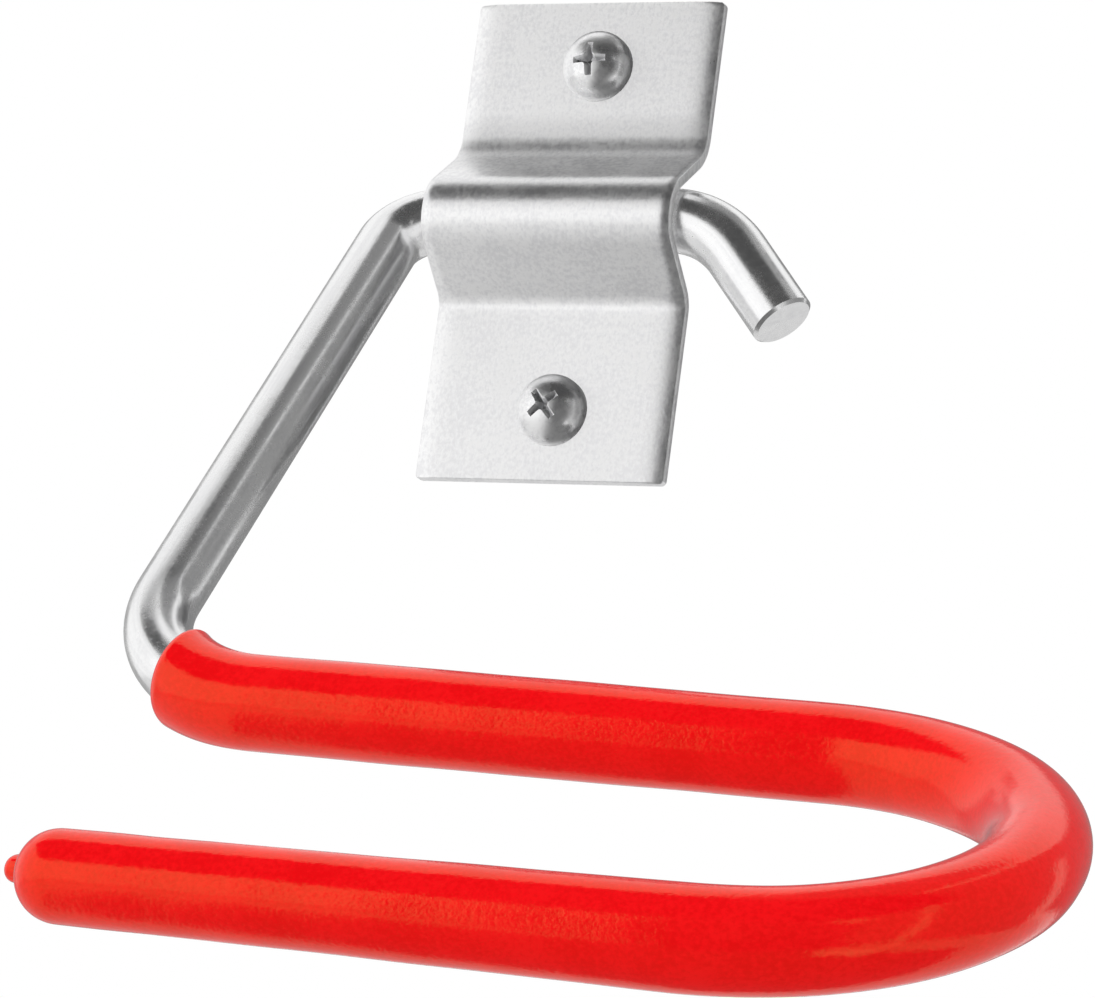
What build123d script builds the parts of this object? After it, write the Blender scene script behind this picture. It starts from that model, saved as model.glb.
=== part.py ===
from build123d import *
import os
from math import cos, radians, sin, tan

# Ski wall bracket: a steel saddle plate screwed to a wall holds a bent rod by its straight run,
# and the rod's U-shaped hook, in a red dipped coat, takes a pair of skis between its two prongs.
# Frame: X along the wall to the right, Y into the wall, Z up, all in millimetres.
# The origin is on the wall, midway between the two screws.

os.makedirs("parts", exist_ok=True)

# Rod, the gap it keeps from the wall and the height of its run in the saddle
rod_d = 10.0
rod_end_chamfer = 0.5
wall_gap = 0.1
saddle_z = 2.0

# Saddle plate: flanges, hump and rolled edges
plate_left = -22.5
plate_right = 19.5
plate_t = 2.0
plate_h = 78.0
plate_corner_r = 0.8
edge_roll_r = 0.5
saddle_clearance = 0.6
hump_half_width = 3.6
hump_slope = 51.0
hump_crest_r = 7.0
upper_root_r = 5.5
lower_root_r = 3.0

# Screws and their holes
hole_edge_distance = 11.0
hole_clearance = 0.25
screw_d = 5.5
neck_d = 5.0
screw_length = 30.0
screw_point = 7.0
head_d = 11.2
head_h = 5.2
head_rim_h = 1.3
recess_span = 6.2
recess_width = 1.7
recess_depth = 2.8
recess_taper = 8.0
recess_turn_upper = 4.0
recess_turn_lower = 40.0

# Short end of the rod, which bears on the wall as the stop
stop_vertex_x = 24.0
stop_turn = 50.0
stop_length = 21.0
stop_bend_r = 15.5

# Arm from the saddle down to the corner
arm_vertex_x = -28.9
arm_from_wall = 37.0
arm_length = 116.0
arm_bend_r = 7.5
corner_bend_r = 20.0

# Two prongs and the loop that joins them: reaches run to the loop's square outer corners
prong_toe_in = 8.0
prong_drop = 0.7
rear_prong_reach = 141.5
loop_bend_r = 36.0
loop_straight = 2.0
loop_dip = 30.0
front_prong_reach = 118.4

# Red coat
coat_t = 2.0
coat_tip_t = 1.2
coat_end_t = 3.4
taper_delay = 1.0
coat_start_turn = 54.5
mouth_tilt = 21.0
mouth_lead = 20.0
coat_mouth_r = 1.4
drip_d = 4.0
drip_reach = 1.55
drip_rise = 0.45

# Points nearer to each other than this are the same point
same_place = 1e-4

# Worked-out radii and places in the saddle
rod_r = rod_d / 2
axis_y = -(rod_r + wall_gap)
plate_top = plate_h / 2
hump_inside_y = axis_y - rod_r - saddle_clearance
hump_front_y = hump_inside_y - plate_t
crest_top = saddle_z + hump_half_width
crest_bottom = saddle_z - hump_half_width
slope_run = (-hump_front_y - plate_t) / tan(radians(hump_slope))
miter = plate_t * tan(radians(hump_slope / 2))
screw_z = plate_top - hole_edge_distance

# The loop is two quarter bends with a short straight between them
prong_spacing = 2 * loop_bend_r + loop_straight

# Unit vectors along the runs of the rod
stop_dir = Vector(cos(radians(stop_turn)), 0, -sin(radians(stop_turn)))
arm_dir = Vector(0, -sin(radians(arm_from_wall)), -cos(radians(arm_from_wall)))
prong_level = cos(radians(prong_drop))
prong_dir = Vector(
    cos(radians(prong_toe_in)) * prong_level,
    sin(radians(prong_toe_in)) * prong_level,
    -sin(radians(prong_drop)),
)
dip_dir = Vector(0, -cos(radians(loop_dip)), -sin(radians(loop_dip)))
loop_dir = (dip_dir - prong_dir * dip_dir.dot(prong_dir)).normalized()

# Points on the rod's centre line, from the short end to the free end
stop_vertex = Vector(stop_vertex_x, axis_y, saddle_z)
stop_end = stop_vertex + stop_dir * stop_length
arm_vertex = Vector(arm_vertex_x, axis_y, saddle_z)
corner_vertex = arm_vertex + arm_dir * arm_length
rear_loop_corner = corner_vertex + prong_dir * rear_prong_reach
front_loop_corner = rear_loop_corner + loop_dir * prong_spacing
taper_start = front_loop_corner - prong_dir * (loop_bend_r + taper_delay)
front_tip = front_loop_corner - prong_dir * front_prong_reach
coat_tip_r = rod_r + coat_tip_t
rod_tip = front_tip - prong_dir * (coat_tip_r - coat_end_t)

# The corner bend turns the arm's direction into the prongs' about its own centre
corner_turn = arm_dir.get_angle(prong_dir)
corner_tangent = corner_bend_r * tan(radians(corner_turn / 2))
corner_side = (prong_dir - arm_dir * prong_dir.dot(arm_dir)).normalized()
corner_centre = corner_vertex - arm_dir * corner_tangent + corner_side * corner_bend_r


def corner_point(turn):
    """Point on the corner bend's centre line after the given turn in degrees from the arm."""
    across = arm_dir * sin(radians(turn)) - corner_side * cos(radians(turn))
    return corner_centre + across * corner_bend_r


def corner_heading(turn):
    """Direction along the corner bend after the given turn in degrees from the arm."""
    return arm_dir * cos(radians(turn)) + corner_side * sin(radians(turn))


# Saddle plate: one strip bent over the rod, its two outlines a constant thickness apart
with BuildPart() as wall_plate:
    with BuildSketch(Plane.YZ.offset(plate_left)):
        with BuildLine():
            front_line = FilletPolyline(
                (-plate_t, plate_top),
                (-plate_t, crest_top + slope_run),
                (hump_front_y, crest_top),
                (hump_front_y, crest_bottom),
                (-plate_t, crest_bottom - slope_run),
                (-plate_t, -plate_top),
                radius=[upper_root_r, hump_crest_r, hump_crest_r, lower_root_r],
            )
            back_line = FilletPolyline(
                (0, plate_top),
                (0, crest_top + slope_run - miter),
                (hump_inside_y, crest_top - miter),
                (hump_inside_y, crest_bottom + miter),
                (0, crest_bottom - slope_run + miter),
                (0, -plate_top),
                radius=[
                    upper_root_r + plate_t,
                    hump_crest_r - plate_t,
                    hump_crest_r - plate_t,
                    lower_root_r + plate_t,
                ],
            )
            Line(front_line @ 0, back_line @ 0)
            Line(front_line @ 1, back_line @ 1)
        make_face()
    extrude(amount=plate_right - plate_left)
    corners = wall_plate.edges().filter_by(Axis.Y).group_by(Axis.Z)
    fillet(corners[0] + corners[-1], plate_corner_r)
    flange = Plane(origin=(0, -plate_t, 0), x_dir=(1, 0, 0), z_dir=(0, -1, 0))
    with Locations(flange):
        with Locations((0, screw_z), (0, -screw_z)):
            Hole(radius=screw_d / 2 + hole_clearance, depth=plate_t)
    side_edges = wall_plate.faces().filter_by(Axis.X).edges()
    middles = [(edge, edge @ 0.5) for edge in side_edges]
    gaps = [(edge, front_line.distance_to((middle.Y, middle.Z, 0))) for edge, middle in middles]
    rolled = [edge for edge, gap in gaps if gap < same_place]
    fillet(rolled, edge_roll_r)
wall_plate.part.label = "wall_plate"
export_step(wall_plate.part, "parts/wall_plate.step")

# Rod: one round bar, bent at the short end, the arm, the corner and the loop
with BuildPart() as hook_rod:
    with BuildLine() as rod_route:
        FilletPolyline(
            stop_end,
            stop_vertex,
            arm_vertex,
            corner_vertex,
            rear_loop_corner,
            front_loop_corner,
            rod_tip,
            radius=[stop_bend_r, arm_bend_r, corner_bend_r, loop_bend_r, loop_bend_r],
        )
    with BuildSketch(Plane(origin=stop_end, z_dir=-stop_dir)):
        Circle(rod_r)
    sweep(path=rod_route.wire())
    cut_end = hook_rod.faces().filter_by(GeomType.PLANE).sort_by_distance(stop_end)[0]
    chamfer(cut_end.edges(), rod_end_chamfer)
hook_rod.part.label = "hook_rod"
export_step(hook_rod.part, "parts/hook_rod.step")

# Red coat: a tube round the rod from the corner on, thinner on the front prong, closed at its tip
with BuildPart() as vinyl_sleeve:
    with BuildLine() as coat_route:
        ThreePointArc(
            corner_point(coat_start_turn - mouth_lead),
            corner_point((coat_start_turn - mouth_lead + corner_turn) / 2),
            corner_point(corner_turn),
        )
        FilletPolyline(
            corner_point(corner_turn),
            rear_loop_corner,
            front_loop_corner,
            taper_start,
            radius=loop_bend_r,
        )
    with BuildSketch(Plane(origin=coat_route.wire() @ 0, z_dir=coat_route.wire() % 0)):
        Circle(rod_r + coat_t)
    sweep(path=coat_route.wire())
    mouth_centre = corner_point(coat_start_turn)
    mouth_plane = Plane(origin=mouth_centre, z_dir=corner_heading(coat_start_turn + mouth_tilt))
    split(bisect_by=mouth_plane, keep=Keep.TOP)
    mouth = vinyl_sleeve.faces().filter_by(GeomType.PLANE).sort_by_distance(mouth_centre)[0]
    fillet(mouth.edges(), coat_mouth_r)
    with BuildSketch(Plane(origin=taper_start, z_dir=-prong_dir)):
        Circle(rod_r + coat_t)
    with BuildSketch(Plane(origin=front_tip, z_dir=-prong_dir)):
        Circle(coat_tip_r)
    loft()
    with Locations(front_tip):
        Sphere(coat_tip_r)
    drip_centre = front_tip - prong_dir * (coat_tip_r + drip_reach - drip_d / 2) + Vector(0, 0, drip_rise)
    with Locations(drip_centre):
        Sphere(drip_d / 2)
    add(hook_rod.part, mode=Mode.SUBTRACT)
vinyl_sleeve.part.label = "vinyl_sleeve"
export_step(vinyl_sleeve.part, "parts/vinyl_sleeve.step")


def wood_screw(height, recess_turn):
    """Build a round-head screw at a height, its neck in the flange and its recess turned."""
    axis_point = Vector(0, -plate_t, height)
    with BuildPart() as screw:
        with BuildSketch(Plane(origin=axis_point, x_dir=(1, 0, 0), z_dir=(0, 0, 1))):
            with BuildLine():
                dome = EllipticalCenterArc(
                    (0, -head_rim_h), head_d / 2, head_h - head_rim_h, start_angle=270, arc_size=90
                )
                Polyline(
                    dome @ 1,
                    (head_d / 2, 0),
                    (neck_d / 2, 0),
                    (neck_d / 2, plate_t),
                    (screw_d / 2, plate_t),
                    (screw_d / 2, screw_length - screw_point),
                    (0, screw_length),
                    dome @ 0,
                )
            make_face()
        revolve(axis=Axis(axis_point, (0, 1, 0)))
        turn = radians(recess_turn)
        top = axis_point - Vector(0, head_h, 0)
        with BuildSketch(Plane(origin=top, x_dir=(cos(turn), 0, sin(turn)), z_dir=(0, 1, 0))):
            Rectangle(recess_span, recess_width)
            Rectangle(recess_width, recess_span)
        extrude(amount=recess_depth, taper=recess_taper, mode=Mode.SUBTRACT)
    return screw


screw_upper = wood_screw(screw_z, recess_turn_upper)
screw_upper.part.label = "screw_upper"
export_step(screw_upper.part, "parts/screw_upper.step")

screw_lower = wood_screw(-screw_z, recess_turn_lower)
screw_lower.part.label = "screw_lower"
export_step(screw_lower.part, "parts/screw_lower.step")
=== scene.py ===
"""Looks of the ski wall bracket: zinc-plated plate, rod and screws, a red dipped coat, a plain studio."""

import logging
from dataclasses import dataclass, field
from enum import Enum
from typing import Any, Dict, List, Optional, Sequence, Tuple, Union

import bmesh
import bpy
import numpy as np
from mathutils import Matrix

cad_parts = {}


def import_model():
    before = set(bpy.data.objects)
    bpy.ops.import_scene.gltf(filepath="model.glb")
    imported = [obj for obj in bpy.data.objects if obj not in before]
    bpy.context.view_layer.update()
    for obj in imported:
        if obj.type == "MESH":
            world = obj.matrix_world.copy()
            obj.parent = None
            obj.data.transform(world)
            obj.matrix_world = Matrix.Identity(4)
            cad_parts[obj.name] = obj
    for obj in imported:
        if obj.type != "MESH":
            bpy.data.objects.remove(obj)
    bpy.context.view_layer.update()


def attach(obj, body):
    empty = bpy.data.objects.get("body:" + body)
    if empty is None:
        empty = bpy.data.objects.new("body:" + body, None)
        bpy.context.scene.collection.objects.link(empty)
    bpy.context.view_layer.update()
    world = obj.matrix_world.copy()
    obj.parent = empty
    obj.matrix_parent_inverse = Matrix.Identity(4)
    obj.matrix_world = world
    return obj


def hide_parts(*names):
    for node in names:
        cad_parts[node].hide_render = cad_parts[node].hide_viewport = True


Array = np.ndarray
Bounds = Tuple[Sequence[float], Sequence[float]]
Colour = Tuple[float, float, float, float]
Place = Tuple[float, float, float]
Span = Tuple[float, float]

# One millimetre in metres: shapes are worked out in millimetres and their meshes are in metres
MM = 0.001
# Mesh points nearer to each other than this, in metres, are merged
MERGE_DISTANCE = 1e-7
# Distances along a route that differ by less than this, in millimetres, are the same
SAME_PLACE = 1e-4
# Keeps a division by a length that may be zero finite
TINY = 1e-9
# The mesh attribute with the coordinates that follow a carried profile
ALONG = "along"
WALL_NORMAL = np.array([0.0, -1.0, 0.0])

log = logging.getLogger("ski_bracket")


class Body(Enum):
    """CAD bodies that the pieces ride on."""

    BRACKET = "bracket"
    HOOK = "hook"


class Slot(Enum):
    """Material slots of the record."""

    SHEET = "zinc_sheet"
    ROD = "zinc_rod"
    COAT = "red_vinyl"
    SCREW = "zinc_screw"


# Shapes


def unit(vector: Sequence[float]) -> Array:
    """A vector scaled to length one."""
    array = np.asarray(vector, float)
    return array / np.linalg.norm(array)


def turned(vector: Array, axis: Array, angles: Array) -> Array:
    """Turn a vector about an axis by each of many angles.

    Formula: the part along the axis stays, the part across it follows cosine, and the cross product
    of axis and vector follows sine.

    Args:
        vector: The vector to turn.
        axis: Unit axis.
        angles: Angles in radians, shape (n,).

    Returns:
        Turned vectors, shape (n, 3).
    """
    cosine = np.cos(angles)[:, None]
    sine = np.sin(angles)[:, None]
    return vector * cosine + np.cross(axis, vector) * sine + axis * (axis @ vector) * (1 - cosine)


def smoothstep(low: float, high: float, value: Array) -> Array:
    """Zero below low, one above high and 3 t squared minus 2 t cubed between."""
    t = np.clip((value - low) / (high - low), 0, 1)
    return t * t * (3 - 2 * t)


@dataclass(frozen=True)
class Stations:
    """Points along a route, each with its distance and two directions across the route."""

    distance: Array
    point: Array
    tangent: Array
    side: Array
    lift: Array


@dataclass(frozen=True)
class Leg:
    """One straight run of a route, or one arc, which has an axis, a direction to its centre and a radius."""

    start: Array
    head: Array
    side: Array
    length: float
    at: float
    axis: Optional[Array] = None
    inward: Optional[Array] = None
    radius: float = 0.0


class Route:
    """Straight runs joined by tangent arcs, with a frame that is carried along without twisting."""

    def __init__(self, corners: Sequence[Array], radii: Sequence[float], side: Sequence[float]) -> None:
        """Work out the runs and arcs.

        Formula: an arc of radius r at a corner that turns by a starts and ends r tan(a / 2) from the
        corner, and its centre lies r to the side that the route turns to.

        Args:
            corners: The route's corner points, ends included, in millimetres.
            radii: One bend radius for each corner between the ends.
            side: The first direction across the route, at its start.
        """
        points = [np.asarray(c, float) for c in corners]
        heads = [unit(b - a) for a, b in zip(points[:-1], points[1:])]
        self.legs: List[Leg] = []
        place, distance = points[0], 0.0
        across = unit(np.asarray(side, float) - heads[0] * (heads[0] @ np.asarray(side, float)))
        for index, head in enumerate(heads):
            last = index == len(heads) - 1
            turn = 0.0 if last else float(np.arccos(np.clip(head @ heads[index + 1], -1, 1)))
            reach = 0.0 if last else radii[index] * np.tan(turn / 2)
            end = points[index + 1] - head * reach
            length = float((end - place) @ head)
            self.legs.append(Leg(place, head, across, length, distance))
            distance += length
            if last:
                break
            axis = unit(np.cross(head, heads[index + 1]))
            arc = radii[index] * turn
            self.legs.append(Leg(end, head, across, arc, distance, axis, np.cross(axis, head), radii[index]))
            distance += arc
            across = turned(across, axis, np.array([turn]))[0]
            place = points[index + 1] + heads[index + 1] * reach
        self.length = distance

    def at(self, distances: Array) -> Stations:
        """Points and directions at given distances along the route.

        Formula: on a run, start plus head times distance. On an arc, the centre plus the radius
        turned about the axis by distance over radius, and every direction turned by the same angle.

        Args:
            distances: Distances from the start in millimetres, in any order.

        Returns:
            The stations, with beginnings and ends continued straight on.
        """
        distances = np.asarray(distances, float)
        starts = np.array([leg.at for leg in self.legs])
        which = np.clip(np.searchsorted(starts, distances, side="right") - 1, 0, len(self.legs) - 1)
        point = np.zeros((len(distances), 3))
        tangent, side = point.copy(), point.copy()
        for index, leg in enumerate(self.legs):
            mine = which == index
            along = distances[mine] - leg.at
            if leg.axis is None:
                point[mine] = leg.start + along[:, None] * leg.head
                tangent[mine] = leg.head
                side[mine] = leg.side
                continue
            angles = along / leg.radius
            centre = leg.start + leg.inward * leg.radius
            point[mine] = centre + turned(-leg.inward * leg.radius, leg.axis, angles)
            tangent[mine] = turned(leg.head, leg.axis, angles)
            side[mine] = turned(leg.side, leg.axis, angles)
        return Stations(distances, point, tangent, side, np.cross(tangent, side))

    def spread(self, start: float, stop: float, straight: float, turn: float) -> Array:
        """Distances between two limits, close in the bends and wide on the runs.

        Args:
            start: First distance.
            stop: Last distance.
            straight: Spacing on the runs in millimetres.
            turn: Spacing in the bends in degrees.

        Returns:
            Rising distances that hold both limits and every joint between legs.
        """
        parts = [np.array([start, stop])]
        for leg in self.legs:
            step = straight if leg.axis is None else leg.radius * np.radians(turn)
            count = max(1, int(np.ceil(leg.length / step)))
            parts.append(leg.at + np.linspace(0, leg.length, count + 1))
        every = np.concatenate(parts)
        inside = (every > start - SAME_PLACE) & (every < stop + SAME_PLACE)
        return np.unique(np.round(every[inside], 4))


class Skin:
    """Patches of a surface, gathered in millimetres and made into one closed mesh."""

    def __init__(self) -> None:
        """Start with nothing gathered."""
        self.points: List[Array] = []
        self.along: List[Array] = []
        self.faces: List[List[int]] = []
        self.count = 0

    def _store(self, points: Array, along: Optional[Array]) -> int:
        """Keep points and their pattern coordinates.

        Args:
            points: Any array of points.
            along: Their pattern coordinates, or None for the points themselves.

        Returns:
            The index of the first point.
        """
        flat = points.reshape(-1, 3)
        first = self.count
        self.points.append(flat)
        self.along.append(flat if along is None else along.reshape(-1, 3))
        self.count += len(flat)
        return first

    def grid(
        self, points: Array, along: Optional[Array] = None, closed: bool = False, drop: Optional[Array] = None
    ) -> None:
        """Add a patch of four-sided faces.

        The faces look along the cross product of the row step and the column step.

        Args:
            points: Shape (rows, columns, 3).
            along: Pattern coordinates of the same shape, or None for the points themselves.
            closed: Whether the last column joins the first.
            drop: Shape (rows - 1, columns - 1), true for faces that are left out.
        """
        rows, columns = points.shape[:2]
        first = self._store(points, along)
        index = first + np.arange(rows * columns).reshape(rows, columns)
        right = np.roll(index, -1, axis=1) if closed else index[:, 1:]
        here = index if closed else index[:, :-1]
        quads = np.stack([here[:-1], here[1:], right[1:], right[:-1]], axis=-1)
        if drop is not None:
            quads = quads[~drop]
        self.faces.extend(quads.reshape(-1, 4).tolist())

    def fan(self, ring: Array, centre: Array, along: Optional[Array] = None) -> None:
        """Close a ring with triangles round a centre point, wound as the ring runs.

        Args:
            ring: Shape (n, 3), in order.
            centre: The middle point.
            along: Pattern coordinates of the ring and then the centre, shape (n + 1, 3).
        """
        first = self._store(np.vstack([ring, centre]), along)
        here = first + np.arange(len(ring))
        middle = np.full(len(ring), first + len(ring))
        self.faces.extend(np.stack([here, np.roll(here, -1), middle], axis=-1).tolist())

    def face(self, outline: Array) -> None:
        """Add one many-sided flat face, wound as the outline runs."""
        first = self._store(outline, None)
        self.faces.append(list(range(first, first + len(outline))))

    def piece(self, name: str, crease: float = 60.0) -> bpy.types.Object:
        """Make the mesh object: doubles merged, faces turned outwards, smooth but for sharp edges.

        Args:
            name: The object's name.
            crease: Angle in degrees past which an edge stays sharp.

        Returns:
            The object, at the origin, linked to the scene.
        """
        mesh = bpy.data.meshes.new(name)
        mesh.from_pydata((np.vstack(self.points) * MM).tolist(), [], self.faces)
        layer = mesh.attributes.new(ALONG, "FLOAT_VECTOR", "POINT")
        layer.data.foreach_set("vector", (np.vstack(self.along) * MM).astype(np.float32).ravel())
        work = bmesh.new()
        work.from_mesh(mesh)
        bmesh.ops.remove_doubles(work, verts=work.verts, dist=MERGE_DISTANCE)
        bmesh.ops.recalc_face_normals(work, faces=work.faces)
        work.to_mesh(mesh)
        work.free()
        mesh.polygons.foreach_set("use_smooth", np.ones(len(mesh.polygons), bool))
        mesh.set_sharp_from_angle(angle=np.radians(crease))
        mesh.update()
        made = bpy.data.objects.new(name, mesh)
        bpy.context.scene.collection.objects.link(made)
        return made


def tube(stations: Stations, radius: Array, angles: Array) -> Tuple[Array, Array]:
    """A round profile carried along a route.

    Formula: point = route point + radius (side cosine + lift sine). The pattern coordinates are the
    distance along the route and the two parts across it, so a pattern follows every bend.

    Args:
        stations: Places along the route.
        radius: Shape (stations,) or (stations, angles).
        angles: Shape (angles,), in radians.

    Returns:
        Points and pattern coordinates, each of shape (stations, angles, 3).
    """
    radius = radius if radius.ndim == 2 else radius[:, None] * np.ones(len(angles))
    cosine, sine = np.cos(angles), np.sin(angles)
    points = (
        stations.point[:, None, :]
        + (radius * cosine)[..., None] * stations.side[:, None, :]
        + (radius * sine)[..., None] * stations.lift[:, None, :]
    )
    along = np.stack([stations.distance[:, None] * np.ones(len(angles)), radius * cosine, radius * sine], -1)
    return points, along


# Materials


class Wire:
    """A value in a material's node tree, with arithmetic that adds Math nodes."""

    def __init__(self, graph: "Graph", socket: bpy.types.NodeSocket) -> None:
        """Wrap an output socket of a graph."""
        self.graph = graph
        self.socket = socket

    def _math(self, operation: str, first: "Value", second: "Value") -> "Wire":
        """Add one Math node on two values."""
        node = self.graph.node("ShaderNodeMath", {"operation": operation}, {0: first, 1: second})
        return Wire(self.graph, node.outputs[0])

    def __add__(self, other: "Value") -> "Wire":
        """Sum."""
        return self._math("ADD", self, other)

    __radd__ = __add__

    def __sub__(self, other: "Value") -> "Wire":
        """Difference."""
        return self._math("SUBTRACT", self, other)

    def __rsub__(self, other: "Value") -> "Wire":
        """Difference from a number."""
        return self._math("SUBTRACT", other, self)

    def __mul__(self, other: "Value") -> "Wire":
        """Product."""
        return self._math("MULTIPLY", self, other)

    __rmul__ = __mul__

    def over(self, low: float, high: float) -> "Wire":
        """Zero at low and one at high, eased between and clamped outside."""
        node = self.graph.node(
            "ShaderNodeMapRange",
            {"interpolation_type": "SMOOTHSTEP"},
            {"Value": self, "From Min": low, "From Max": high},
        )
        return Wire(self.graph, node.outputs[0])

    def between(self, low: float, high: float) -> "Wire":
        """Low where this is zero and high where it is one."""
        return low + (high - low) * self


Value = Union[Wire, float, Sequence[float]]


class Graph:
    """The node tree of one material."""

    def __init__(self, name: str) -> None:
        """Make an empty material.

        Args:
            name: The material's name.
        """
        self.material = bpy.data.materials.new(name)
        self.material.use_nodes = True
        self.tree = self.material.node_tree
        self.tree.nodes.clear()

    def node(
        self, kind: str, settings: Dict[str, Any], inputs: Dict[Union[str, int], Value]
    ) -> bpy.types.ShaderNode:
        """Add any node: its settings first, then its sockets' values or links.

        Args:
            kind: Blender's node type.
            settings: Attributes of the node, such as a Math node's operation.
            inputs: Socket name or number, and the value or wire for it.

        Returns:
            The node.
        """
        made = self.tree.nodes.new(kind)
        for key, value in settings.items():
            setattr(made, key, value)
        for key, value in inputs.items():
            if isinstance(value, Wire):
                self.tree.links.new(value.socket, made.inputs[key])
            else:
                made.inputs[key].default_value = value
        return made

    def place(self) -> Wire:
        """The object's own coordinates in metres."""
        return Wire(self, self.node("ShaderNodeTexCoord", {}, {}).outputs["Object"])

    def height(self, where: Wire) -> Wire:
        """The Z part of coordinates."""
        return Wire(self, self.node("ShaderNodeSeparateXYZ", {}, {0: where}).outputs[2])

    def along(self) -> Wire:
        """The coordinates that follow a carried profile."""
        node = self.node("ShaderNodeAttribute", {"attribute_name": ALONG}, {})
        return Wire(self, node.outputs["Vector"])

    def stretched(self, where: Wire, scale: Sequence[float]) -> Wire:
        """Coordinates scaled by a different factor on each axis."""
        node = self.node("ShaderNodeMapping", {}, {"Vector": where, "Scale": scale})
        return Wire(self, node.outputs[0])

    def noise(self, where: Wire, scale: float, detail: float, roughness: float = 0.5) -> Wire:
        """Fractal noise from about 0 to 1, with features one over scale metres wide."""
        node = self.node(
            "ShaderNodeTexNoise",
            {},
            {"Vector": where, "Scale": scale, "Detail": detail, "Roughness": roughness},
        )
        return Wire(self, node.outputs["Fac"])

    def specks(self, where: Wire, scale: float) -> Wire:
        """Distance to the nearest of scattered points, in cells one over scale metres wide."""
        node = self.node("ShaderNodeTexVoronoi", {}, {"Vector": where, "Scale": scale})
        return Wire(self, node.outputs["Distance"])

    def blend(self, share: Value, first: Value, second: Value) -> Wire:
        """Mix two colours."""
        node = self.node("ShaderNodeMix", {"data_type": "RGBA"}, {0: share, 6: first, 7: second})
        return Wire(self, node.outputs[2])

    def relief(self, height: Wire, strength: float, depth: float, under: Optional[Wire] = None) -> Wire:
        """A Bump node.

        Args:
            height: Height map.
            strength: Share of the relief that shows.
            depth: What a height of one stands for, in metres.
            under: The normals of another relief that this one lies on.

        Returns:
            The normals.
        """
        inputs: Dict[Union[str, int], Value] = {"Height": height, "Strength": strength, "Distance": depth}
        if under is not None:
            inputs["Normal"] = under
        return Wire(self, self.node("ShaderNodeBump", {}, inputs).outputs[0])

    def finish(self, inputs: Dict[Union[str, int], Value]) -> bpy.types.Material:
        """Add the Principled shader and the output.

        Args:
            inputs: The shader's sockets by name, and the value or wire for each.

        Returns:
            The material.
        """
        shader = self.node("ShaderNodeBsdfPrincipled", {}, inputs)
        self.node("ShaderNodeOutputMaterial", {}, {"Surface": Wire(self, shader.outputs[0])})
        return self.material


@dataclass(frozen=True)
class ZincSheet:
    """Bright zinc plate on sheet steel: a fine uneven grain and faint clouds.

    Scales are in features per metre. The upper root of the hump, bend_height over the origin and
    bend_reach to either side in metres, is rougher by bend_rough, where bending stretched the plating.
    """

    name: str = "zinc_sheet"
    light: Colour = (0.99, 0.99, 0.99, 1.0)
    dull: Colour = (0.81, 0.81, 0.82, 1.0)
    smooth: float = 0.27
    rough: float = 0.40
    grain: float = 1500.0
    grain_height: float = 0.75
    fine: float = 4650.0
    pit: float = 675.0
    cloud: float = 160.0
    tone_span: Span = (0.36, 0.60)
    rough_span: Span = (0.25, 0.75)
    pit_span: Span = (0.05, 0.22)
    relief: float = 0.45
    relief_depth: float = 0.00004
    bend_height: float = 0.0146
    bend_reach: float = 0.0065
    bend_rough: float = 0.13

    def material(self) -> bpy.types.Material:
        """Build the node material.

        Formula: tone and roughness are weighted sums of grain and clouds, each eased over a span of
        values; the relief is the grain with a finer one over it, less the pits.

        Returns:
            The material.
        """
        g = Graph(self.name)
        where = g.place()
        upright = g.stretched(where, (1.0, 1.0, self.grain_height))
        grain = g.noise(upright, self.grain, detail=3.0, roughness=0.6)
        fine = g.noise(where, self.fine, detail=2.0)
        cloud = g.noise(where, self.cloud, detail=3.0, roughness=0.55)
        pits = 1.0 - g.specks(where, self.pit).over(*self.pit_span)
        tone = (cloud * 0.35 + grain * 0.65).over(*self.tone_span)
        colour = g.blend(tone, self.dull, self.light)
        unevenness = (grain * 0.6 + cloud * 0.4).over(*self.rough_span)
        roughness = unevenness.between(self.smooth, self.rough)
        from_bend = g.height(where) - self.bend_height
        bent = (1.0 - (from_bend * from_bend).over(0.0, self.bend_reach**2)) * (0.5 + grain)
        roughness = roughness + bent * self.bend_rough
        normal = g.relief(grain + fine * 0.35 - pits * 0.25, self.relief, self.relief_depth)
        return g.finish({"Base Color": colour, "Metallic": 1.0, "Roughness": roughness, "Normal": normal})


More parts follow.
